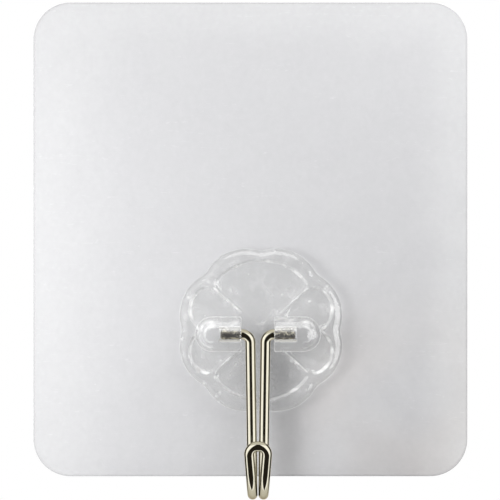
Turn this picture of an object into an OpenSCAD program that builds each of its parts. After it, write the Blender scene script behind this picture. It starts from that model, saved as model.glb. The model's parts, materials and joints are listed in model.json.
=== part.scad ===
// Clear self-adhesive wall hook: a clear film that sticks to a wall, a clear flower-shaped
// moulding bonded to the film, and a plated wire hook that swings in the moulding's two bosses.
// The wall is the plane Y = 0, the part stands out from it along -Y, and +Z is up.

/* [Film] */
// Width of the clear sheet
sheet_w = 70; // [50:1:100]
// Height of the clear sheet
sheet_h = 76.4; // [64:0.2:110]
// Thickness of the clear sheet
sheet_t = 0.6; // [0.3:0.1:1.5]
// Radius of the sheet's corners
corner_r = 6; // [3:0.5:12]
// Thickness of the adhesive coat on the sheet's wall side
adhesive_t = 0.4; // [0.2:0.1:1]
// Bare margin between the adhesive coat and the sheet's edge
adhesive_margin = 0.7; // [0.2:0.1:1.5]

/* [Moulded base] */
// Sideways place of the base on the sheet, from the sheet's middle
base_x = 1.2; // [-6:0.1:6]
// Height of the pivot line, from the sheet's middle
pivot_z = -15.2; // [-20:0.1:0]
// Sideways place of the flower's middle from the middle of the pivot line
flower_x = 0.5; // [-1:0.1:1]
// Height of the flower's middle above the pivot line
flower_z = 0.6; // [-1:0.1:1]
// Thickness of the moulded plate
plate_t = 2.2; // [1.8:0.1:3.5]
// Radius of the eight round lobes of the plate's outline
lobe_r = 7.2; // [6.8:0.1:8]
// Distance of the lobes' centres from the flower's middle
lobe_reach = 6.4; // [5.6:0.1:6.7]
// Radius of the rounding along the plate's outer edge
edge_r = 1; // [0.6:0.1:1.4]
// Radius of the scoops in the top and bottom petals
tall_scoop_r = 9.6; // [8.6:0.1:9.8]
// Distance of the top and bottom scoops' centres from the flower's middle
tall_scoop_z = 1.9; // [1.4:0.1:2.2]
// Depth of the scoops in the top and bottom petals
tall_scoop_d = 0.8; // [0.3:0.1:1.1]
// Radius of the scoops in the four side petals
side_scoop_r = 4.1; // [3.6:0.1:4.4]
// Sideways place of the side scoops' centres
side_scoop_x = 7.6; // [7:0.1:8]
// Distance of the side scoops' centres above or below the flower's middle
side_scoop_z = 3.3; // [2.8:0.1:3.6]
// Depth of the scoops in the side petals
side_scoop_d = 0.7; // [0.3:0.1:1.1]
// Width of the ribs between the petals
rib_w = 0.5; // [0.3:0.1:1]
// Slant of the four slanting ribs above or below the level, in degrees
rib_slant = 42; // [38:1:48]

/* [Pivot bosses] */
// Radius of the two bosses
boss_r = 2.8; // [2.2:0.05:3.2]
// Length of each boss along the pivot line
boss_len = 7.45; // [6:0.05:9]
// Clear distance between the two bosses
boss_gap = 5.3; // [5:0.1:7]
// Depth of the blind bore in each boss
bore_depth = 3.55; // [2:0.05:4.5]
// Clearance round the wire in the bores
bore_clear = 0.05; // [0.03:0.01:0.15]

/* [Wire hook] */
// Diameter of the wire
wire_d = 1.6; // [1:0.1:1.8]
// Drop from the pivot line to the middle of the wire at the hook's floor
hook_drop = 25.2; // [20:0.1:32]
// Bend radius of the hook's throat, at the middle of the wire
throat_r = 4.7; // [3.5:0.1:7]
// Straight stretch across the hook's floor
floor_run = 0.3; // [0.1:0.1:3]
// Straight stretch from the throat up to the tip's loop
tip_run = 3; // [0.5:0.1:6]
// Clear gap between the two legs just below the bosses
leg_gap = 0.8; // [0.4:0.1:1]
// Clear gap between the two strands at the hook's floor
floor_gap = 0.1; // [0.06:0.01:0.5]
// Bend radius where the wire turns from the bosses into the legs
top_r = 1.35; // [1.1:0.05:1.4]
// Forward flare of the tip, in degrees
tip_flare = 12; // [0:1:25]
// Sideways spread of each strand of the tip, in degrees
tip_spread = 4.5; // [3:0.5:10]

/* [Hidden] */
// Thickness of the clear bond between base and sheet, and how far it stays inside the base
bond_t = 0.1;
bond_inset = 0.6;
// Gap between the resting legs and the plate, and between the wire's ends and their bores
rest_gap = 0.3;
end_gap = 0.23;
// Half height of the saddle between the bosses at its narrow waist, and how far it runs into them
saddle_waist = 1.6;
saddle_lap = 0.3;
// The foot under each boss stays this much inside the boss's own width
foot_inset = 0.05;
// Chamfer on the wire's cut ends
end_chamfer = 0.2;
// Half of the short straight that joins the two strands at the top of the tip's loop
loop_join = 0.1;
// Straight runs reach this far into the bends, which are this much thicker
lap = 0.05;
swell = 0.01;
// How far cuts run past the faces that they open
overrun = 1;

wire_r = wire_d / 2;
bore_r = wire_r + bore_clear;
sheet_back = adhesive_t;
bond_back = sheet_back + sheet_t;
base_back = bond_back + bond_t;
pivot_h = plate_t + rest_gap + wire_r;

boss_face = boss_gap / 2;
dome_len = boss_r;
saddle_half = boss_r - 2 * foot_inset;
saddle_end = boss_face + saddle_lap;
saddle_rise = saddle_half - saddle_waist;
saddle_scallop = (saddle_end * saddle_end + saddle_rise * saddle_rise) / (2 * saddle_rise);
pin_end = boss_face + bore_depth - end_gap;

// Each half of the wire, from its pivot pin to the loop at the tip
leg_top = (leg_gap + wire_d) / 2;
floor_half = (floor_gap + wire_d) / 2;
leg_lean = atan((leg_top - floor_half) / (hook_drop - top_r));
pin_run = pin_end - leg_top - top_r * cos(leg_lean);
leg_run = (hook_drop - top_r * (1 - sin(leg_lean)) - throat_r * cos(leg_lean)) / cos(leg_lean);
floor_x = leg_top - (leg_run + throat_r) * sin(leg_lean);
rise_x = floor_x + throat_r * (1 - sin(tip_flare)) * sin(tip_spread);
loop_x = rise_x + tip_run * cos(tip_flare) * sin(tip_spread);
loop_turn = asin(cos(tip_flare) * sin(tip_spread));
loop_roll = 90 + atan(sin(tip_flare) * tan(tip_spread));
loop_r = (loop_x - loop_join) / cos(loop_turn);

// Scoops as [centre across, centre up, radius, depth, first and last rib in degrees]
SCOOPS = [
    [0, tall_scoop_z, tall_scoop_r, tall_scoop_d, rib_slant, 180 - rib_slant],
    [0, -tall_scoop_z, tall_scoop_r, tall_scoop_d, 180 + rib_slant, 360 - rib_slant],
    [side_scoop_x, side_scoop_z, side_scoop_r, side_scoop_d, 0, rib_slant],
    [-side_scoop_x, side_scoop_z, side_scoop_r, side_scoop_d, 180 - rib_slant, 180],
    [-side_scoop_x, -side_scoop_z, side_scoop_r, side_scoop_d, 180, 180 + rib_slant],
    [side_scoop_x, -side_scoop_z, side_scoop_r, side_scoop_d, 360 - rib_slant, 360],
];
lobe_count = 8;
lobe_turn = 360 / lobe_count;
flower_reach = lobe_reach + lobe_r;

FILM_CLEAR = [0.86, 0.87, 0.88, 0.55];
GLUE_CLEAR = [0.93, 0.94, 0.93, 0.5];
MOULDED_CLEAR = [0.8, 0.83, 0.85, 0.75];
NICKEL = [0.78, 0.76, 0.72];

$fn = 64;

// A rectangle with round corners, about its middle
module round_rect(w, h, r) {
    square([w - 2 * r, h], center = true);
    square([w, h - 2 * r], center = true);
    for (sx = [-1, 1], sy = [-1, 1])
        translate([sx * (w / 2 - r), sy * (h / 2 - r)]) circle(r);
}

// Stands what is drawn flat on the wall, rising off it from the given depth
module off_wall(depth) {
    translate([0, -depth, 0]) rotate([90, 0, 0]) children();
}

// The same, about the middle of the pivot line
module off_sheet(depth) {
    translate([base_x, 0, pivot_z]) off_wall(depth) children();
}

// Places what follows at the middle of each lobe of the flower
module at_lobes() {
    for (i = [0 : lobe_count - 1])
        rotate([0, 0, lobe_turn * (i + 1 / 2)]) translate([lobe_reach, 0, 0]) children();
}

// One lobe of the plate: a disc with a rounded upper edge
module lobe_disc() {
    rotate_extrude() {
        square([lobe_r, plate_t - edge_r]);
        square([lobe_r - edge_r, plate_t]);
        translate([lobe_r - edge_r, plate_t - edge_r]) intersection() {
            circle(edge_r);
            square(edge_r);
        }
    }
}

// The wedge between two ribs, with half a rib's width left along each side
module between_ribs(first, last) {
    half = (last - first) / 2;
    middle = (first + last) / 2;
    tip = rib_w / 2 / sin(half);
    reach = 2 * flower_reach;
    linear_extrude(plate_t + overrun)
        translate(tip * [cos(middle), sin(middle)])
            polygon([[0, 0], reach * [cos(first), sin(first)], reach * [cos(last), sin(last)]]);
}

// A shallow ball-shaped scoop of the given width and depth in the plate's face
module scoop(r, depth) {
    ball_r = (r * r + depth * depth) / (2 * depth);
    translate([0, 0, plate_t - depth + ball_r]) sphere(ball_r, $fn = 200);
}

// A boss along +X with a flat inner face and a round outer end
module boss() {
    rotate([0, 90, 0]) rotate_extrude() {
        square([boss_r, boss_len - dome_len]);
        translate([0, boss_len - dome_len]) intersection() {
            circle(boss_r);
            square(boss_r);
        }
    }
}

// The saddle between the bosses, drawn in to a waist above and below the wire
module saddle() {
    linear_extrude(plate_t) difference() {
        square([2 * (saddle_end + saddle_lap), 2 * saddle_half], center = true);
        for (side = [-1, 1]) translate([0, side * (saddle_waist + saddle_scallop)]) circle(saddle_scallop);
    }
}

// The upright foot that carries a boss on the plate
module boss_foot() {
    half = boss_r - foot_inset;
    run = boss_len - dome_len;
    linear_extrude(pivot_h) {
        translate([0, -half]) square([run, 2 * half]);
        translate([run, 0]) intersection() {
            circle(half);
            translate([0, -half]) square([half, 2 * half]);
        }
    }
}

// A straight run of wire along +Z, and what follows at its far end
module run(length) {
    translate([0, 0, -lap]) cylinder(r = wire_r, h = length + 2 * lap);
    translate([0, 0, length]) children();
}

// A bend of the wire from +Z towards +X, and what follows at its far end
module bend(radius, angle) {
    translate([radius, 0, 0])
        rotate([90, 0, 0])
            rotate([0, 0, 180 - angle])
                rotate_extrude(angle = angle) translate([radius, 0]) circle(wire_r + swell / 2);
    translate([radius, 0, 0]) rotate([0, angle, 0]) translate([-radius, 0, 0]) children();
}

// Turns the next bend about the wire's own line
module roll(angle) {
    rotate([0, 0, angle]) children();
}

// One half of the hook, from the cut end of its pivot pin round to the top of the loop
module half_hook() {
    translate([pin_end, 0, 0]) rotate([0, -90, 0]) {
        cylinder(r1 = wire_r - end_chamfer, r2 = wire_r, h = end_chamfer);
        translate([0, 0, end_chamfer]) cylinder(r = wire_r, h = pin_run - end_chamfer + lap);
        translate([0, 0, pin_run])
            roll(180) bend(top_r, 90 - leg_lean) run(leg_run)
            roll(90) bend(throat_r, 90) run(floor_run)
            roll(leg_lean - tip_spread) bend(throat_r, 90 - tip_flare) run(tip_run)
            roll(loop_roll) bend(loop_r, 90 + loop_turn) children();
    }
}

module wire_hook() {
    color(NICKEL) off_sheet(base_back) translate([0, 0, pivot_h]) rotate([-90, 0, 0]) {
        half_hook() run(2 * loop_join);
        mirror([1, 0, 0]) half_hook();
    }
}

module hook_base() {
    color(MOULDED_CLEAR) off_sheet(base_back) difference() {
        union() {
            translate([flower_x, flower_z, 0]) difference() {
                at_lobes() lobe_disc();
                for (s = SCOOPS) intersection() {
                    translate([s[0], s[1], 0]) scoop(s[2], s[3]);
                    between_ribs(s[4], s[5]);
                }
            }
            saddle();
            for (side = [0, 1]) mirror([side, 0, 0]) translate([boss_face, 0, 0]) {
                boss_foot();
                translate([0, 0, pivot_h]) boss();
            }
        }
        for (side = [0, 1]) mirror([side, 0, 0])
            translate([boss_face - overrun, 0, pivot_h]) rotate([0, 90, 0])
                cylinder(r = bore_r, h = bore_depth + overrun);
    }
}

module base_bond() {
    color(GLUE_CLEAR) off_sheet(bond_back) linear_extrude(bond_t)
        translate([flower_x, flower_z]) at_lobes() circle(lobe_r - bond_inset);
}

module carrier_sheet() {
    color(FILM_CLEAR) off_wall(sheet_back) linear_extrude(sheet_t)
        round_rect(sheet_w, sheet_h, corner_r);
}

module adhesive_layer() {
    margins = 2 * adhesive_margin;
    color(GLUE_CLEAR) off_wall(0) linear_extrude(adhesive_t)
        round_rect(sheet_w - margins, sheet_h - margins, corner_r - adhesive_margin);
}

wire_hook();
hook_base();
base_bond();
carrier_sheet();
adhesive_layer();
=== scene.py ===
import json
import math

import bpy
import numpy as np
from mathutils import Matrix, Vector


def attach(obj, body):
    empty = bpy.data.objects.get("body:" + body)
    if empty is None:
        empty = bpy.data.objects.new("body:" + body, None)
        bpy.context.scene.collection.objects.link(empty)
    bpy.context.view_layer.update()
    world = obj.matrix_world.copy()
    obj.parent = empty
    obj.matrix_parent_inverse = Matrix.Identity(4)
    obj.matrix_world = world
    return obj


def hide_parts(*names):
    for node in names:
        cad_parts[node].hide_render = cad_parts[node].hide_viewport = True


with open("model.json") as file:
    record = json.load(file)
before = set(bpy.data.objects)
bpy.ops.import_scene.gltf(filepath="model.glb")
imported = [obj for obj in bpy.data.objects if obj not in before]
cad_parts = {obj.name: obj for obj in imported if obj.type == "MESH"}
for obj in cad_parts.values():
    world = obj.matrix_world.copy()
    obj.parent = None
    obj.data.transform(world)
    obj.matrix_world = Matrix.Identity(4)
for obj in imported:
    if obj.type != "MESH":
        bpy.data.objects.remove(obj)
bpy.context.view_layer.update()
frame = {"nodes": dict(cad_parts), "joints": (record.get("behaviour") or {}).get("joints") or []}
mm = 0.001
pivot = Vector(frame["joints"][0]["pos_m"])
print("frame loaded:", len(frame["nodes"]), "nodes")


class Sock:
    # one socket of a node tree: sums on it add Math nodes
    def __init__(self, tree, out=None):
        self.tree = tree
        self.out = out

    def node(self, kind, settings=None, values=None, out=0):
        made = self.tree.nodes.new(kind)
        for name, value in (settings or {}).items():
            setattr(made, name, value)
        for name, value in (values or {}).items():
            if isinstance(value, Sock):
                self.tree.links.new(value.out, made.inputs[name])
            else:
                made.inputs[name].default_value = value
        return Sock(self.tree, made.outputs[out] if made.outputs else None)

    def output(self, name):
        # another output of the same node
        return Sock(self.tree, self.out.node.outputs[name])

    def sum(self, operation, *terms):
        return self.node("ShaderNodeMath", {"operation": operation}, dict(enumerate(terms)))

    def __add__(self, other):
        return self.sum("ADD", self, other)

    def __radd__(self, other):
        return self.sum("ADD", other, self)

    def __sub__(self, other):
        return self.sum("SUBTRACT", self, other)

    def __rsub__(self, other):
        return self.sum("SUBTRACT", other, self)

    def __mul__(self, other):
        return self.sum("MULTIPLY", self, other)

    def __rmul__(self, other):
        return self.sum("MULTIPLY", other, self)

    def __truediv__(self, other):
        return self.sum("DIVIDE", self, other)

    def __abs__(self):
        return self.sum("ABSOLUTE", self)

    def least(self, other):
        return self.sum("MINIMUM", self, other)

    def most(self, other):
        return self.sum("MAXIMUM", self, other)

    def ease(self, low, high):
        return self.node("ShaderNodeMapRange", {"interpolation_type": "SMOOTHSTEP"},
                         {"Value": self, "From Min": low, "From Max": high})

    def rise(self, place, soft):
        # from 0 to 1 around one place
        return self.ease(place - soft, place + soft)


def newMaterial(name):
    material = bpy.data.materials.new(name)
    material.use_nodes = True
    material.node_tree.nodes.clear()
    return material, Sock(material.node_tree)


def mixColour(start, share, first, second):
    return start.node("ShaderNodeMix", {"data_type": "RGBA"}, {0: share, 6: first, 7: second}, 2)


def mixShader(start, share, first, second):
    return start.node("ShaderNodeMixShader", None, {0: share, 1: first, 2: second})


def placeIn(start, perMm, turn=(0, 0, 0)):
    # object coordinates scaled for a pattern, by one number or by one each along X, Y and Z
    scale = perMm if isinstance(perMm, tuple) else (perMm, perMm, perMm)
    coords = start.node("ShaderNodeTexCoord", out="Object")
    return start.node("ShaderNodeMapping", None,
                      {"Vector": coords, "Rotation": turn, "Scale": [s / mm for s in scale]})


def axesIn(start):
    # the three object coordinates in millimetres
    x = start.node("ShaderNodeSeparateXYZ", None, {"Vector": placeIn(start, 1)})
    return x, x.output(1), x.output(2)


def distance(start, across, up):
    return start.sum("SQRT", across * across + up * up)


def noise(start, place, detail=3.0):
    return start.node("ShaderNodeTexNoise", None, {"Vector": place, "Scale": 1.0, "Detail": detail})


def hairlines(start, place, width):
    # thin lines along the level curves of a stretched noise
    return 1 - abs(noise(start, place, 2.0) - 0.5).ease(0.0, width)


def dust(start, place, size, share):
    # small round specks in some of the cells of a scattered grid
    cells = {"Vector": place, "Scale": 1.0}
    far = start.node("ShaderNodeTexVoronoi", None, cells)
    pick = start.node("ShaderNodeTexVoronoi", None, cells, 1)
    chance = start.node("ShaderNodeSeparateColor", None, {"Color": pick})
    return (1 - far.ease(size * 0.4, size)) * chance.ease(1 - share, 1.02 - share)


def bump(start, height, strength, reach):
    return start.node("ShaderNodeBump", None, {"Height": height, "Strength": strength, "Distance": reach})


def principled(start, values):
    return start.node("ShaderNodeBsdfPrincipled", None, values)


def outputShader(start, shader):
    start.node("ShaderNodeOutputMaterial", None, {"Surface": shader})


nickel = {
    "bright": (0.97, 0.92, 0.75, 1), "dull": (0.87, 0.81, 0.64, 1), "edgeTint": (0.42, 0.38, 0.30, 1),
    "scatter": (0.21, 0.195, 0.15, 1), "scatterRoughness": 0.6, "roughness": 0.07,
    "lineScale": (7, 7, 0.15), "lineRoughness": 0.04, "lineShare": 0.0036,
    "cloudScale": 0.35, "cloudRange": (0.45, 0.75), "wornRoughness": 0.08,
    "spotScale": 1.4, "spotSize": 0.16, "spotShare": 0.25,
    "pinFrom": 2.6, "pinTo": 2.9, "gritScale": (1.6, 2.2, 2.2), "gritRange": (0.42, 0.54),
    "pinBump": 0.7, "pinBumpHeight": 0.4,
    # pinShade is painted shade: a near-black colour for the pins inside the bores
    "pinShade": (0.10, 0.08, 0.06, 1), "pinShaded": 0.9, "pinShadeRoughness": 0.25,
}


def nickelMaterial(look):
    # bright plating with the faint lengthwise lines of drawn wire, small dull spots and rough pins with
    # painted shade where they sit in the bores; light that has bounced before meets a plain surface, so no
    # sharp patterns fall on the film
    material, start = newMaterial("nickelPlating")
    across = axesIn(start)[0]
    lines = noise(start, placeIn(start, look["lineScale"]), 2.0)
    clouds = noise(start, placeIn(start, look["cloudScale"]), 4.0).ease(*look["cloudRange"])
    spots = dust(start, placeIn(start, look["spotScale"]), look["spotSize"], look["spotShare"])
    wear = (clouds * 0.5 + spots * 0.5).least(1.0)
    pins = abs(across - pivot.x / mm).ease(look["pinFrom"], look["pinTo"])
    grit = noise(start, placeIn(start, look["gritScale"]))
    # painted shade: the pins inside the bores are darkened nearly to black in patches
    pinShading = pins * grit.ease(*look["gritRange"]) * look["pinShaded"]
    plating = mixColour(start, wear, look["bright"], look["dull"])
    height = grit * pins + look["lineShare"] * lines
    metal = principled(start, {
        "Base Color": mixColour(start, pinShading, plating, look["pinShade"]),
        "Metallic": 1.0,
        "Roughness": look["roughness"] + look["lineRoughness"] * lines + look["wornRoughness"] * wear
        + look["pinShadeRoughness"] * pinShading,
        "Specular Tint": look["edgeTint"],
        "Normal": bump(start, height, look["pinBump"], look["pinBumpHeight"] * mm),
    })
    plain = principled(start, {"Base Color": look["scatter"], "Roughness": look["scatterRoughness"]})
    rays = start.node("ShaderNodeLightPath", out="Diffuse Depth")
    bounced = (rays + rays.output("Glossy Depth")).least(1.0)
    outputShader(start, mixShader(start, bounced, metal, plain))
    return material


moulded = {
    "tint": (0.985, 0.99, 0.99, 1), "haze": (0.95, 0.955, 0.96, 1), "speck": (0.5, 0.48, 0.45, 1),
    "index": 1.49, "roughness": 0.025, "hazeRoughness": 0.05, "speckRoughness": 0.3,
    "flowScale": (0.22, 0.22, 0.5), "flowTurn": (0, 0.5, 0), "rippleScale": 0.75, "ripples": 0.16,
    "waveBump": 0.12, "waveHeight": 0.25, "hazeScale": 0.6, "hazeRange": (0.4, 0.8),
    "speckScale": 0.7, "speckSize": 0.10, "speckShare": 0.22, "specked": 0.35,
    # how much lamp light passes its faces and its upright walls, and how deep its glued back lies
    "clear": (0.98, 0.98, 0.98, 1), "shadowClear": 0.99, "wallClear": 0.5, "gluedBack": 1.12,
    "wallRange": (0.2, 0.6), "upwardRange": (0.1, 0.7), "mirrorRoughness": 0.06,
    # whitish haze of the body and of the bosses that stand higher than bossFrom, painted highlights on the
    # bosses' upper halves, and painted highlights along sharp edges
    "frost": (0.93, 0.93, 0.93, 1), "frostRoughness": 0.45, "bodyHaze": 0.22,
    "bossHaze": 0.06, "bossTopHighlight": 0.34, "bossFrom": 3.6, "bossFade": 0.2,
    "edgeHighlight": 0.24, "edgeRange": (0.515, 0.58),
    # painted highlights as whitish streaks: the ribs from ribFrom to ribTo, the scoops' outer arcs, and rings
    # on the bosses
    "markHighlight": 0.62, "patchScale": 0.35, "patchRange": (0.35, 0.65), "patchLeast": 0.55,
    "ribHighlight": 0.45, "ribLine": (0.08, 0.26), "ribFrom": 4.2, "ribFromSoft": 0.4,
    "ribTo": 10.2, "ribToSoft": 0.3, "arcInset": 0.3, "arcLine": (0.1, 0.4), "arcEnd": (0.2, 0.6),
    "sideArcFrom": (9.0, 9.6), "endRings": (1.25, 2.1), "ringLine": (0.08, 0.32), "ringFrom": (-0.6, 0.4),
}


def paintedHighlightStreaks(start, look, shape):
    # painted highlights as whitish streaks along the ribs and the scoops' outer arcs, and rings at the ends
    # of the bosses
    x, z = axesIn(start)[::2]
    level = z - pivot.z / mm
    across = abs(x - (pivot.x / mm + shape["middle"][0]))
    up = abs(level - shape["middle"][1])

    def arc(middleX, middleZ, radius):
        away = distance(start, across - middleX, up - middleZ)
        return 1 - abs(away - (radius - look["arcInset"])).ease(*look["arcLine"])

    slant = math.radians(shape["slant"])
    side = across * math.sin(slant) - up * math.cos(slant)
    reach = distance(start, across, up)
    rib = (1 - abs(side).ease(*look["ribLine"])) * reach.rise(look["ribFrom"], look["ribFromSoft"])
    rib = rib * (1 - reach.rise(look["ribTo"], look["ribToSoft"]))
    tallZ, tallRadius = shape["tallScoop"][:2]
    sideX, sideZ, sideRadius = shape["sideScoop"][:3]
    tallArc = arc(0, tallZ, tallRadius) * (0 - side).ease(*look["arcEnd"])
    sideArc = arc(sideX, sideZ, sideRadius) * side.ease(*look["arcEnd"]) * reach.ease(*look["sideArcFrom"])
    marks = tallArc.most(sideArc)
    outward = abs(x - pivot.x / mm) - (shape["bossFace"] + shape["bossRun"])
    fromEnd = distance(start, outward, level)
    for ring in look["endRings"]:
        line = 1 - abs(fromEnd - ring).ease(*look["ringLine"])
        marks = marks.most(line * outward.ease(*look["ringFrom"]))
    patchy = noise(start, placeIn(start, look["patchScale"]), 2.0).ease(*look["patchRange"])
    marks = marks * (look["patchLeast"] + (1 - look["patchLeast"]) * patchy)
    # painted highlights along the ribs, the arcs and the rings
    return (rib * look["ribHighlight"]).most(marks * look["markHighlight"])


def mouldedMaterial(look, shape):
    # clear moulded plastic with slow flow waves, a little haze, specks and painted highlights on its edges,
    # ribs, arcs and boss tops;
    # lamps shine through it, and its glued back face neither mirrors nor bends the light
    material, start = newMaterial("clearMoulding")
    flow = noise(start, placeIn(start, look["flowScale"], look["flowTurn"]), 2.0)
    ripples = noise(start, placeIn(start, look["rippleScale"]), 1.0)
    haze = noise(start, placeIn(start, look["hazeScale"]), 4.0).ease(*look["hazeRange"])
    specks = dust(start, placeIn(start, look["speckScale"]), look["speckSize"], look["speckShare"])
    tint = mixColour(start, haze, look["tint"], look["haze"])
    waves = flow + look["ripples"] * ripples
    plastic = principled(start, {
        "Base Color": mixColour(start, look["specked"] * specks, tint, look["speck"]),
        "Roughness": look["roughness"] + look["hazeRoughness"] * haze + look["speckRoughness"] * specks,
        "IOR": look["index"],
        "Transmission Weight": 1.0,
        "Normal": bump(start, waves, look["waveBump"], look["waveHeight"] * mm),
    })
    hazeAndHighlightShader = principled(start, {"Base Color": look["frost"], "Roughness": look["frostRoughness"]})
    mirror = principled(start, {
        "Base Color": look["frost"], "Metallic": 1.0, "Roughness": look["mirrorRoughness"],
    })
    clear = start.node("ShaderNodeBsdfTransparent", None, {"Color": look["clear"]})

    geometry = start.node("ShaderNodeNewGeometry")
    normal, point, within = [geometry.output(name) for name in ("Normal", "Pointiness", "Backfacing")]
    slope = start.node("ShaderNodeSeparateXYZ", None, {"Vector": normal}, 1)
    facing = abs(slope).ease(*look["wallRange"])
    upward = slope.output(2).ease(*look["upwardRange"])
    depth = axesIn(start)[1]
    raised = (0 - depth).rise(look["bossFrom"], look["bossFade"])
    # real haze on the bosses, plus a painted highlight: their upward-facing faces turn whiter
    bossHazeAndHighlight = look["bossHaze"] - look["bodyHaze"] + look["bossTopHighlight"] * upward
    # painted highlights: convex sharp edges turn whiter
    edgeHighlights = point.ease(*look["edgeRange"]) * look["edgeHighlight"]
    hazeAndHighlights = look["bodyHaze"] + bossHazeAndHighlight * raised + edgeHighlights.most(paintedHighlightStreaks(start, look, shape))
    surface = mixShader(start, hazeAndHighlights * (0.5 + haze), plastic, hazeAndHighlightShader)

    rays = start.node("ShaderNodeLightPath")
    scattered = rays.output("Diffuse Depth").least(1.0)
    lampClear = look["wallClear"] + (look["shadowClear"] - look["wallClear"]) * facing
    lampLight = rays.output("Is Shadow Ray") * lampClear
    glued = start.sum("GREATER_THAN", depth, -look["gluedBack"])
    through = lampLight.most(scattered * facing.most(1 - within)).most(glued)
    surface = mixShader(start, scattered * within, surface, mirror)
    outputShader(start, mixShader(start, through, surface, clear))
    return material


film = {
    "width": 70.0, "height": 76.4, "corner": 6.0, "front": 0.985, "back": 0.415, "softEdge": 0.12,
    "cornerSteps": 24, "edgeSteps": 4, "sharpAngle": 40.0,
    "grey": (0.70, 0.70, 0.718, 1), "pink": (0.71, 0.69, 0.69, 1), "edgeGrey": (0.54, 0.54, 0.55, 1),
    "index": 1.46, "roughness": 0.34, "fineRoughness": 0.12, "scratchRoughness": 0.2,
    "alpha": 0.62, "mottleAlpha": 0.19, "fineAlpha": 0.06, "scratchAlpha": 0.08, "speckAlpha": 0.2,
    "edgeAlpha": 0.13, "edgeRange": (0.05, 0.45), "edgeDarkening": 0.5, "speckDirt": 0.6,
    # painted light: the film clears towards its left, right and top edges, and a little more slowly below the
    # top, so it shows lighter there
    "paintedLightShare": 0.20, "leftRange": (1.0, 18.0), "rightRange": (1.0, 10.0),
    "topRange": (1.0, 8.0), "lowerRange": (1.0, 22.0), "lowerShare": 0.35,
    "mottleScale": 0.19, "fineScale": 1.1, "waveBump": 0.12, "waveHeight": 0.3,
    "fineHeight": 0.06, "scratchHeight": 0.05,
    "pinkScale": 0.05, "pinkNoise": (0.3, 0.6), "pinkBelow": (-26.0, -4.0), "pinkRight": (0.0, 14.0),
    "scratchScale": (0.03, 1, 0.5), "scratchTurn": (0, 0.6, 0), "scratchWidth": 0.006,
    "scratchRange": (0.45, 0.7), "speckScale": 0.28, "speckSize": 0.055, "speckShare": 0.3,
}


def filmMaterial(look):
    # hazy clear film: mottled, faintly scratched and dusty, darker and denser along its cut edge, with
    # painted light that clears it towards its left, right and top edges
    material, start = newMaterial("clearFilm")
    x, z = axesIn(start)[::2]
    across = abs(x) - (look["width"] / 2 - look["corner"])
    upright = abs(z) - (look["height"] / 2 - look["corner"])
    corner = distance(start, across.most(0.0), upright.most(0.0))
    inside = look["corner"] - corner - across.most(upright).least(0.0)
    edge = 1 - inside.ease(*look["edgeRange"])
    left = (look["width"] / 2 + x).ease(*look["leftRange"])
    right = (look["width"] / 2 - x).ease(*look["rightRange"])
    fromTop = look["height"] / 2 - z
    lower = 1 - look["lowerShare"] + look["lowerShare"] * fromTop.ease(*look["lowerRange"])
    # painted light: the film is made more see-through, so lighter, towards its left, right and top edges
    paintedLight = 1 - left * right * fromTop.ease(*look["topRange"]) * lower
    mottle = noise(start, placeIn(start, look["mottleScale"]), 4.0)
    fine = noise(start, placeIn(start, look["fineScale"]))
    pink = noise(start, placeIn(start, look["pinkScale"]), 1.0).ease(*look["pinkNoise"])
    pink = pink * (1 - z.ease(*look["pinkBelow"])) * x.ease(*look["pinkRight"])
    slanted = placeIn(start, look["scratchScale"], look["scratchTurn"])
    scratches = hairlines(start, slanted, look["scratchWidth"]) * fine.ease(*look["scratchRange"])
    specks = dust(start, placeIn(start, look["speckScale"]), look["speckSize"], look["speckShare"])
    grey = mixColour(start, pink, look["grey"], look["pink"])
    # darker along the cut edge, and dust specks
    edgeDarkeningAndDust = (edge * look["edgeDarkening"] + specks * look["speckDirt"]).least(1.0)
    height = mottle + look["fineHeight"] * fine + look["scratchHeight"] * scratches
    outputShader(start, principled(start, {
        "Base Color": mixColour(start, edgeDarkeningAndDust, grey, look["edgeGrey"]),
        "Roughness": look["roughness"] + look["fineRoughness"] * (fine - 0.5)
        + look["scratchRoughness"] * scratches,
        "IOR": look["index"],
        "Alpha": look["alpha"] - look["paintedLightShare"] * paintedLight + look["mottleAlpha"] * (mottle - 0.5)
        + look["fineAlpha"] * (fine - 0.5) + look["edgeAlpha"] * edge
        + look["scratchAlpha"] * scratches + look["speckAlpha"] * specks,
        "Normal": bump(start, height, look["waveBump"], look["waveHeight"] * mm),
    }))
    return material


glue = {
    "colour": (0.86, 0.87, 0.86, 1), "cloud": (0.80, 0.80, 0.79, 1), "cloudScale": 0.3,
    "alpha": 0.05, "cloudAlpha": 0.04, "bubbleAlpha": 0.08, "roughness": 0.4, "cloudRoughness": 0.2,
    "bubbleScale": 0.6, "bubbleSize": 0.12, "bubbleShare": 0.2, "bubbleBump": 0.1, "bubbleHeight": 0.1,
}


def glueMaterial(look):
    # nearly clear adhesive with fine bubbles
    material, start = newMaterial("clearGlue")
    clouds = noise(start, placeIn(start, look["cloudScale"]), 4.0)
    bubbles = dust(start, placeIn(start, look["bubbleScale"]), look["bubbleSize"], look["bubbleShare"])
    uneven = clouds - 0.5
    outputShader(start, principled(start, {
        "Base Color": mixColour(start, clouds, look["colour"], look["cloud"]),
        "Roughness": look["roughness"] + look["cloudRoughness"] * uneven,
        "Alpha": look["alpha"] + look["cloudAlpha"] * uneven + look["bubbleAlpha"] * bubbles,
        "Normal": bump(start, bubbles, look["bubbleBump"], look["bubbleHeight"] * mm),
    }))
    return material


def deselectAll():
    bpy.ops.object.select_all(action="DESELECT")


def activate(piece):
    deselectAll()
    piece.select_set(True)
    bpy.context.view_layer.objects.active = piece


def applyPlace(piece):
    activate(piece)
    bpy.ops.object.transform_apply(location=True, rotation=True, scale=True)


def openEdit(select="SELECT"):
    bpy.ops.object.mode_set(mode="EDIT")
    bpy.ops.mesh.select_all(action=select)


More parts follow.
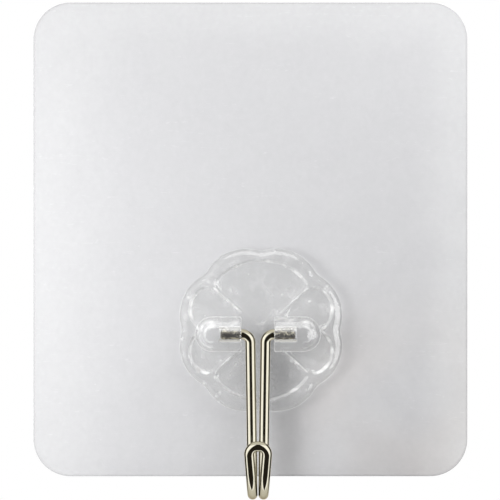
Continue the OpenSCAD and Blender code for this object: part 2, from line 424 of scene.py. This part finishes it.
def closeEdit():
    bpy.ops.object.mode_set(mode="OBJECT")


def boolean(piece, tool, operation):
    activate(piece)
    bpy.ops.object.modifier_add(type="BOOLEAN")
    cut = piece.modifiers[-1]
    cut.operation = operation
    cut.solver = "EXACT"
    cut.object = tool
    bpy.ops.object.modifier_apply(modifier=cut.name)
    bpy.data.objects.remove(tool, do_unlink=True)


def finishPiece(piece, name, material, body, nodes, sharpAngle):
    applyPlace(piece)
    piece.name = name
    piece.data.name = name
    piece.data.materials.clear()
    piece.data.materials.append(material)
    bpy.ops.object.shade_smooth_by_angle(angle=math.radians(sharpAngle))
    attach(piece, body)
    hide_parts(*nodes)
    print(name, "made:", len(piece.data.polygons), "faces")


wire = {
    "radius": 0.8, "endChamfer": 0.2, "sides": 40, "bendStep": 4.0,
    "bossGap": 5.3, "boreDepth": 3.55, "endGap": 0.23,
    "drop": 25.2, "throat": 4.7, "floorRun": 0.3, "tipRun": 3.0, "legGap": 0.8, "floorGap": 0.1,
    "topBend": 1.35, "tipFlare": 12.0, "tipSpread": 4.5, "loopJoin": 0.1,
    "mirrorMerge": 0.01, "merge": 0.001, "sharpAngle": 40.0,
}


class WireBender:
    # walks one end of the wire along its middle line: straight runs are extruded and bends are spun
    def __init__(self, place, bendStep):
        self.place = Vector(place)
        self.along = Vector((-1, 0, 0))
        self.aside = Vector((0, 0, 1))
        self.hinge = Vector((0, 1, 0))
        self.bendStep = bendStep

    def run(self, length):
        bpy.ops.mesh.extrude_region_move(TRANSFORM_OT_translate={"value": self.along * length * mm})
        self.place += self.along * length

    def roll(self, angle):
        turn = Matrix.Rotation(math.radians(angle), 3, self.along)
        self.aside = turn @ self.aside
        self.hinge = turn @ self.hinge

    def bend(self, radius, angle):
        centre = self.place + self.aside * radius
        steps = max(4, round(angle / self.bendStep))
        bpy.ops.mesh.spin(steps=steps, angle=-math.radians(angle), center=centre * mm, axis=self.hinge)
        turn = Matrix.Rotation(math.radians(angle), 3, self.hinge)
        self.place = centre + turn @ (self.place - centre)
        self.along = turn @ self.along
        self.aside = turn @ self.aside


def buildWireHook(spec, material):
    radius = spec["radius"]
    lean = math.atan(((spec["legGap"] - spec["floorGap"]) / 2) / (spec["drop"] - spec["topBend"]))
    legTop = spec["legGap"] / 2 + radius
    flare, spread = math.radians(spec["tipFlare"]), math.radians(spec["tipSpread"])
    pinEnd = spec["bossGap"] / 2 + spec["boreDepth"] - spec["endGap"]
    pinRun = pinEnd - legTop - spec["topBend"] * math.cos(lean)
    legDrop = spec["drop"] - spec["topBend"] * (1 - math.sin(lean)) - spec["throat"] * math.cos(lean)
    legRun = legDrop / math.cos(lean)
    floorX = legTop - (legRun + spec["throat"]) * math.sin(lean)
    riseX = floorX + spec["throat"] * (1 - math.sin(flare)) * math.sin(spread)
    loopX = riseX + spec["tipRun"] * math.cos(flare) * math.sin(spread)
    loopTurn = math.asin(math.cos(flare) * math.sin(spread))
    loopRoll = 90 + math.degrees(math.atan(math.sin(flare) * math.tan(spread)))
    loopBend = (loopX - spec["loopJoin"]) / math.cos(loopTurn)

    deselectAll()
    bpy.ops.mesh.primitive_circle_add(vertices=spec["sides"], radius=(radius - spec["endChamfer"]) * mm,
                                      fill_type="NOTHING", location=(pinEnd * mm, 0, 0),
                                      rotation=(0, math.pi / 2, 0))
    piece = bpy.context.object
    applyPlace(piece)
    openEdit()
    bpy.ops.mesh.edge_face_add()                                  # the cut end of the pin
    closeEdit()
    openEdit()
    bpy.ops.mesh.region_to_loop()
    bender = WireBender((pinEnd, 0, 0), spec["bendStep"])
    bender.run(spec["endChamfer"])
    grow = radius / (radius - spec["endChamfer"])
    bpy.ops.transform.resize(value=(1, grow, grow), center_override=bender.place * mm)
    bender.run(pinRun - spec["endChamfer"])
    bender.roll(180)
    bender.bend(spec["topBend"], 90 - math.degrees(lean))
    bender.run(legRun)
    bender.roll(90)
    bender.bend(spec["throat"], 90)
    bender.run(spec["floorRun"])
    bender.roll(math.degrees(lean) - spec["tipSpread"])
    bender.bend(spec["throat"], 90 - spec["tipFlare"])
    bender.run(spec["tipRun"])
    bender.roll(loopRoll)
    bender.bend(loopBend, 90 + math.degrees(loopTurn))
    bender.run(spec["loopJoin"])
    closeEdit()
    print("wire half ends", [round(x, 3) for x in bender.place])
    bpy.ops.object.modifier_add(type="MIRROR")
    mirror = piece.modifiers[-1]
    mirror.use_axis = (True, False, False)
    mirror.merge_threshold = spec["mirrorMerge"] * mm
    bpy.ops.object.modifier_apply(modifier=mirror.name)
    openEdit()
    bpy.ops.mesh.remove_doubles(threshold=spec["merge"] * mm)
    bpy.ops.mesh.normals_make_consistent(inside=False)
    closeEdit()
    piece.location = pivot
    finishPiece(piece, "bent_wire", material, "hook", ["wire_hook"], spec["sharpAngle"])


def buildFilm(spec, material):
    thickness = (spec["front"] - spec["back"]) * mm
    deselectAll()
    bpy.ops.mesh.primitive_plane_add(size=1, location=(0, -spec["front"] * mm, 0),
                                     rotation=(math.pi / 2, 0, 0))
    piece = bpy.context.object
    piece.scale = (spec["width"] * mm, spec["height"] * mm, 1)
    applyPlace(piece)
    openEdit()
    bpy.ops.mesh.bevel(offset=spec["corner"] * mm, segments=spec["cornerSteps"], affect="VERTICES")
    bpy.ops.mesh.select_all(action="SELECT")
    bpy.ops.mesh.extrude_region_move(TRANSFORM_OT_translate={"value": (0, thickness, 0)})
    closeEdit()
    for face in piece.data.polygons:
        face.select = abs(face.normal.y) > 0.9
    bpy.context.tool_settings.mesh_select_mode = (False, False, True)
    bpy.ops.object.mode_set(mode="EDIT")
    bpy.ops.mesh.bevel(offset=spec["softEdge"] * mm, segments=spec["edgeSteps"], affect="EDGES")
    bpy.ops.mesh.select_all(action="SELECT")
    bpy.ops.mesh.normals_make_consistent(inside=False)
    closeEdit()
    finishPiece(piece, "film_sheet", material, "wall_plate", ["carrier_sheet"],
                spec["sharpAngle"])
    return piece


flower = {
    "back": 1.115, "plate": 2.2, "edge": 1.5, "foot": 0.12, "middle": (0.5, 0.6),
    "lobes": 8, "lobeRadius": 7.2, "lobeReach": 6.4, "blend": 0.5, "searchFrom": 8.0, "searchTo": 15.0,
    # the tall scoops' height, radius and depth; the side scoops' sideways place, height, radius and depth
    "tallScoop": (1.9, 9.6, 0.8), "sideScoop": (7.6, 3.3, 4.1, 0.7), "slant": 42.0,
    "ribHalf": 0.1, "scoopCorner": 1.6, "wallRun": 0.4, "wallShare": 0.45, "dishRun": 3.0, "scoopSoft": 0.15,
    "waist": 1.6, "saddleEnd": 2.95, "saddleHalf": 2.7, "saddleFillet": 0.35,
    "saddleLap": 0.5, "saddleFade": 0.3, "pivotHeight": 3.3,
    "bossRadius": 2.8, "bossFace": 2.65, "bossRun": 4.65, "bossFoot": 0.5, "bossSides": 80,
    "bossSoft": 0.22, "bossSoftSteps": 4, "bisectMerge": 0.0001,
    "boreRadius": 0.85, "boreDepth": 3.55, "boreLead": 1.0, "boreSides": 48,
    "rounds": 600, "innerRings": 128, "rimRings": 12, "wallRings": 4, "merge": 0.0005, "sharpAngle": 48.0,
}


def smoothMax(first, second, reach):
    share = np.clip(0.5 + 0.5 * (first - second) / reach, 0, 1)
    return second * (1 - share) + first * share + reach * share * (1 - share)


def smoothStep(value):
    value = np.clip(value, 0, 1)
    return value * value * (3 - 2 * value)


def scoopsOf(spec):
    # centre across, centre up, radius, depth, first and last rib
    tallZ, tallR, tallD = spec["tallScoop"]
    sideX, sideZ, sideR, sideD = spec["sideScoop"]
    slant = spec["slant"]
    return [
        (0, tallZ, tallR, tallD, slant, 180 - slant), (0, -tallZ, tallR, tallD, 180 + slant, 360 - slant),
        (sideX, sideZ, sideR, sideD, 0, slant), (-sideX, sideZ, sideR, sideD, 180 - slant, 180),
        (-sideX, -sideZ, sideR, sideD, 180, 180 + slant), (sideX, -sideZ, sideR, sideD, 360 - slant, 360),
    ]


def insetOf(across, up, spec):
    # how far a point lies inside the flower's outline, with the notches between lobes rounded
    inset = np.full(across.shape, -99.0)                          # far outside
    for lobe in range(spec["lobes"]):
        turn = 2 * math.pi * (lobe + 0.5) / spec["lobes"]
        x, z = spec["lobeReach"] * math.cos(turn), spec["lobeReach"] * math.sin(turn)
        inset = smoothMax(inset, spec["lobeRadius"] - np.hypot(across - x, up - z), spec["blend"])
    return inset


def ringAt(angles, inset, spec):
    # radius at which each spoke reaches that inset
    low, high = np.full(angles.shape, spec["searchFrom"]), np.full(angles.shape, spec["searchTo"])
    for halving in range(40):
        middle = (low + high) / 2
        within = insetOf(middle * np.cos(angles), middle * np.sin(angles), spec) > inset
        low, high = np.where(within, middle, low), np.where(within, high, middle)
    return (low + high) / 2


def scoopDepth(across, up, spec):
    # each scoop is a dish with round corners between its ribs and its outer arc
    depth = np.zeros(across.shape)
    corner, soft = spec["scoopCorner"], spec["scoopSoft"]
    for x, z, radius, deep, first, last in scoopsOf(spec):
        first, last = math.radians(first), math.radians(last)
        wall = -smoothMax(across * math.sin(first) - up * math.cos(first),
                          up * math.cos(last) - across * math.sin(last), corner / 2)
        inside = -smoothMax(spec["ribHalf"] - wall, np.hypot(across - x, up - z) - radius, corner)
        inside = smoothMax(inside, 0 * inside, soft) - soft / 4
        wallPart = 1 - (1 - np.clip(inside / spec["wallRun"], 0, 1)) ** 2
        dishPart = 1 - (1 - np.clip(inside / spec["dishRun"], 0, 1)) ** 2
        depth += deep * (spec["wallShare"] * wallPart + (1 - spec["wallShare"]) * dishPart)
    rise = spec["saddleHalf"] - spec["waist"]
    scallop = (spec["saddleEnd"] ** 2 + rise ** 2) / (2 * rise)
    level, across = up + spec["middle"][1], across + spec["middle"][0]
    inner = np.minimum(np.abs(across), spec["saddleEnd"])
    saddle = spec["waist"] + scallop - np.sqrt(scallop ** 2 - inner ** 2) - np.abs(level)
    between = smoothStep((spec["saddleEnd"] + spec["saddleLap"] - np.abs(across)) / spec["saddleFade"])
    return depth * (1 - between * smoothStep(saddle / spec["saddleFillet"] + 0.5))


def buildPlate(spec):
    # a spoke of points is spun round, then each point goes to its place on the moulded face
    inner, rim, wallRings = spec["innerRings"], spec["rimRings"], spec["wallRings"]
    count = inner + rim + wallRings
    deselectAll()
    bpy.ops.mesh.primitive_grid_add(x_subdivisions=count, y_subdivisions=1, size=1)
    piece = bpy.context.object
    openEdit("DESELECT")
    closeEdit()
    for point in piece.data.vertices:
        point.select = point.co.y < 0
    bpy.context.tool_settings.mesh_select_mode = (True, False, False)
    bpy.ops.object.mode_set(mode="EDIT")
    bpy.ops.mesh.delete(type="VERT")
    bpy.ops.mesh.select_all(action="SELECT")
    bpy.ops.transform.translate(value=(0.5, -0.5, 0))
    bpy.ops.transform.resize(value=(count, 1, 1), center_override=(0, 0, 0))
    bpy.ops.mesh.spin(steps=spec["rounds"], angle=2 * math.pi, center=(0, 0, 0), axis=(0, 0, 1))
    bpy.ops.mesh.select_all(action="SELECT")
    bpy.ops.mesh.remove_doubles(threshold=0.002)                  # the rings are still 1 apart
    closeEdit()

    points = np.empty(len(piece.data.vertices) * 3)
    piece.data.vertices.foreach_get("co", points)
    points = points.reshape(-1, 3)
    ring = np.rint(np.hypot(points[:, 0], points[:, 1])).astype(int)
    angle = np.arctan2(points[:, 1], points[:, 0])
    edge, foot = spec["edge"], spec["foot"]
    shoulder = ringAt(angle, edge, spec)
    radius = shoulder * ring / inner
    for step in range(1, rim + 1):
        here = ring == inner + step
        radius[here] = ringAt(angle[here], edge * (1 - math.sin(math.pi / 2 * step / rim)), spec)
    outline = ringAt(angle, 0.0, spec)
    wall = ring > inner + rim
    radius[wall] = outline[wall]
    last = ring == count
    radius[last] -= foot
    across, up = radius * np.cos(angle), radius * np.sin(angle)
    height = spec["plate"] - scoopDepth(across, up, spec)
    lean = np.clip((ring - inner) / rim, 0, 1)
    height -= edge * (1 - np.cos(math.pi / 2 * lean))
    height[wall] = (spec["plate"] - edge) * (1 - (ring[wall] - inner - rim) / wallRings)
    height[ring == count - 1] = foot
    height[last] = 0
    points[:, 0] = (across + spec["middle"][0]) * mm
    points[:, 1] = -(spec["back"] + height) * mm
    points[:, 2] = (up + spec["middle"][1]) * mm
    piece.data.vertices.foreach_set("co", points.ravel())
    piece.data.update()

    openEdit("DESELECT")
    bpy.ops.mesh.select_non_manifold(extend=False, use_wire=False, use_boundary=True)
    bpy.ops.mesh.edge_face_add()                                  # the flat back
    bpy.ops.mesh.select_all(action="SELECT")
    bpy.ops.mesh.normals_make_consistent(inside=False)
    closeEdit()
    return piece


def buildBoss(spec, side):
    # a ball cut in half, drawn out along the pivot line, cut level and carried down into the plate
    deselectAll()
    bpy.ops.mesh.primitive_uv_sphere_add(segments=spec["bossSides"], ring_count=spec["bossSides"] // 2,
                                         radius=spec["bossRadius"] * mm, rotation=(0, math.pi / 2, 0))
    piece = bpy.context.object
    applyPlace(piece)
    openEdit()
    cut = {"plane_co": (0, 0, 0), "use_fill": True, "threshold": spec["bisectMerge"] * mm}
    bpy.ops.mesh.bisect(plane_no=(1, 0, 0), clear_inner=True, **cut)
    bpy.ops.mesh.extrude_region_move(TRANSFORM_OT_translate={"value": (-spec["bossRun"] * mm, 0, 0)})
    bpy.ops.mesh.bevel(offset=spec["bossSoft"] * mm, segments=spec["bossSoftSteps"], affect="EDGES")
    bpy.ops.mesh.select_all(action="SELECT")
    bpy.ops.mesh.bisect(plane_no=(0, 1, 0), clear_outer=True, **cut)
    sink = (spec["pivotHeight"] - spec["bossFoot"]) * mm
    bpy.ops.mesh.extrude_region_move(TRANSFORM_OT_translate={"value": (0, sink, 0)})
    bpy.ops.mesh.select_all(action="SELECT")
    bpy.ops.mesh.normals_make_consistent(inside=False)
    closeEdit()
    if side < 0:
        piece.rotation_euler = (0, math.pi, 0)
    piece.location = (side * (spec["bossFace"] + spec["bossRun"]) * mm,
                      -(spec["back"] + spec["pivotHeight"]) * mm, 0)
    applyPlace(piece)
    return piece


def buildBore(spec, side):
    length = spec["boreLead"] + spec["boreDepth"]
    deselectAll()
    bpy.ops.mesh.primitive_cylinder_add(vertices=spec["boreSides"], radius=spec["boreRadius"] * mm,
                                        depth=length * mm, rotation=(0, math.pi / 2, 0))
    tool = bpy.context.object
    tool.location = (side * (spec["bossFace"] - spec["boreLead"] + length / 2) * mm,
                     -(spec["back"] + spec["pivotHeight"]) * mm, 0)
    applyPlace(tool)
    return tool


def buildMoulding(spec, material):
    piece = buildPlate(spec)
    for side in (1, -1):
        boss = buildBoss(spec, side)
        boolean(boss, buildBore(spec, side), "DIFFERENCE")
        boolean(piece, boss, "UNION")
    activate(piece)
    openEdit()
    bpy.ops.mesh.remove_doubles(threshold=spec["merge"] * mm)
    closeEdit()
    piece.location = (pivot.x, 0, pivot.z)
    finishPiece(piece, "flower_moulding", material, "wall_plate", ["hook_base"],
                spec["sharpAngle"])
    return piece


nickelPlating = nickelMaterial(nickel)
clearMoulding = mouldedMaterial(moulded, flower)
clearFilm = filmMaterial(film)
clearGlue = glueMaterial(glue)
print("materials made")

buildWireHook(wire, nickelPlating)
filmSheet = buildFilm(film, clearFilm)
flowerMoulding = buildMoulding(flower, clearMoulding)
for nodeName in ("base_bond", "adhesive_layer"):
    glueNode = frame["nodes"][nodeName]
    glueNode.data.materials.clear()
    glueNode.data.materials.append(clearGlue)
    glueNode.visible_glossy = False
filmSheet.visible_glossy = False
flowerMoulding.visible_glossy = False
print("glue layers dressed")


floor = {
    "below": 250.0, "radius": 400.0, "sides": 96,
    "colour": (0.86, 0.86, 0.86, 1), "paler": (0.89, 0.89, 0.89, 1), "grainScale": 0.4,
    "roughness": 0.8, "grainRoughness": 0.1, "fadeShares": (0.35, 0.98),
}


def buildFloor(spec):
    # a pale disc that fades out towards its edge
    deselectAll()
    bpy.ops.mesh.primitive_circle_add(vertices=spec["sides"], radius=spec["radius"] * mm, fill_type="NGON",
                                      location=(0, 0, -spec["below"] * mm))
    piece = bpy.context.object
    piece.name = "pale_floor"
    applyPlace(piece)
    material, start = newMaterial("paleFloor")
    far = distance(start, *axesIn(start)[:2])
    grain = noise(start, placeIn(start, spec["grainScale"]))
    outputShader(start, principled(start, {
        "Base Color": mixColour(start, grain, spec["colour"], spec["paler"]),
        "Roughness": spec["roughness"] + spec["grainRoughness"] * grain,
        "Alpha": 1 - far.ease(*[spec["radius"] * share for share in spec["fadeShares"]]),
    }))
    piece.data.materials.append(material)
    piece.visible_glossy = False


lamps = {
    # name: place, aimed at, width, height, watts
    "key_softbox": ((-110, -80, -6), (0, 0, -1), 55, 70, 0.155),
    "right_softbox": ((92, -62, 88), (20, 0, 20), 70, 70, 0.095),
    "top_strip": ((20, -150, 300), (0, 0, -10), 240, 80, 0.15),
    "back_fill": ((60, 330, 90), (0, 0, 0), 300, 300, 0.50),
}
glossCards = {
    # cards that only the clear moulding mirrors
    "right_card": ((250, -150, -20), (0, 0, -15), 400, 340, 1.9),
    "top_card": ((0, -140, 290), (0, 0, -15), 420, 280, 1.05),
}


def buildLamps(rows, only=None):
    for name, (place, aim, width, height, watts) in rows.items():
        data = bpy.data.lights.new(name, "AREA")
        data.shape = "ELLIPSE"
        data.size = width * mm
        data.size_y = height * mm
        data.energy = watts
        lamp = bpy.data.objects.new(name, data)
        lamp.location = Vector(place) * mm
        lamp.rotation_euler = (Vector(aim) - Vector(place)).to_track_quat("-Z", "Y").to_euler()
        bpy.context.scene.collection.objects.link(lamp)
        lamp.visible_camera = False
        lamp.visible_transmission = False
        lamp.visible_glossy = only is not None
        if only:
            lamp.visible_diffuse = False
            lamp.light_linking.receiver_collection = only


studio = {
    "ambient": 0.37, "dark": (0.014, 0.012, 0.009, 1), "grey": (0.55, 0.54, 0.50, 1),
    # on a ball of radius 1: the dark room ahead, wider below and narrower above, then ceiling, floor and back
    "darkHalf": 0.50, "widenDown": 0.90, "narrowUp": 0.45, "lowest": -0.42, "soft": 0.05,
    "top": 0.72, "topSoft": 0.06, "floorFrom": -0.50, "backTo": 0.80, "backSoft": 0.1, "twiceDark": 0.8,
}


def buildWorld(spec):
    # white to the eye and to clear plastic, softer as a light; bright metal mirrors a dark room ahead
    # of it and behind it, a grey ceiling, and a grey floor towards the back
    world = bpy.data.worlds.new("studio")
    world.use_nodes = True
    world.node_tree.nodes.clear()
    start = Sock(world.node_tree)
    rays = start.node("ShaderNodeLightPath")
    across = start.node("ShaderNodeSeparateXYZ", None, {"Vector": start.node("ShaderNodeTexCoord")})
    deep, up = across.output(1), across.output(2)
    level = start.sum("SQRT", across * across + deep * deep + 0.0001)
    half = spec["darkHalf"] - spec["widenDown"] * up.most(spec["lowest"]).least(0.0)
    half = half - spec["narrowUp"] * up.most(0.0)
    ahead = 1 - (abs(across) / level - half).rise(0, spec["soft"])
    back = deep.rise(0, spec["soft"])
    aboveFloor = up.rise(spec["floorFrom"], spec["soft"])
    behind = back * aboveFloor * (1 - deep.rise(spec["backTo"], spec["backSoft"]))
    room = (ahead * (1 - back)).most(behind)
    grey = up.rise(spec["top"], spec["topSoft"]).most(back * (1 - aboveFloor))
    mirrors = rays.output("Glossy Depth")
    again = (mirrors - 1).least(1.0).most(0.0)
    mirrored = (mirrors.least(1.0) * room.most(grey)).most(spec["twiceDark"] * again)
    seen = rays.most(rays.output("Is Glossy Ray")).most(rays.output("Is Transmission Ray"))
    seen = seen * (1 - rays.output("Diffuse Depth").least(1.0))
    ambient = spec["ambient"]
    shade = mixColour(start, seen, (ambient, ambient, ambient, 1), (1, 1, 1, 1))
    dark = mixColour(start, grey * (1 - again), spec["dark"], spec["grey"])
    shade = mixColour(start, mirrored * seen, shade, dark)
    light = start.node("ShaderNodeBackground", None, {"Color": shade, "Strength": 1.0})
    start.node("ShaderNodeOutputWorld", None, {"Surface": light})
    bpy.context.scene.world = world


camera = {
    "lens": 200.0, "sensor": 36.0, "clipStart": 10.0,
    "framePixels": 500, "mmPerPixel": 0.1613, "sheetMiddle": (249.9, 238.9),
}


def buildCamera(spec):
    # level and square to the sheet, far enough back for the photograph's scale at the sheet
    width = spec["framePixels"] * spec["mmPerPixel"]
    farBack = width * spec["lens"] / spec["sensor"]
    middle = (spec["framePixels"] - 1) / 2
    shiftX = (middle - spec["sheetMiddle"][0]) * spec["mmPerPixel"]
    shiftZ = (spec["sheetMiddle"][1] - middle) * spec["mmPerPixel"]
    data = bpy.data.cameras.new("photoCamera")
    data.lens = spec["lens"]
    data.sensor_width = spec["sensor"]
    data.clip_start = spec["clipStart"] * mm
    eye = bpy.data.objects.new("photoCamera", data)
    eye.location = (shiftX * mm, -(film["front"] + farBack) * mm, shiftZ * mm)
    eye.rotation_euler = (math.pi / 2, 0, 0)
    bpy.context.scene.collection.objects.link(eye)
    bpy.context.scene.camera = eye


buildFloor(floor)
clearPieces = bpy.data.collections.new("clearPieces")
clearPieces.objects.link(flowerMoulding)
buildLamps(lamps)
buildLamps(glossCards, clearPieces)
buildWorld(studio)
buildCamera(camera)
bpy.context.scene.view_settings.view_transform = "Standard"
print("studio set")

deselectAll()
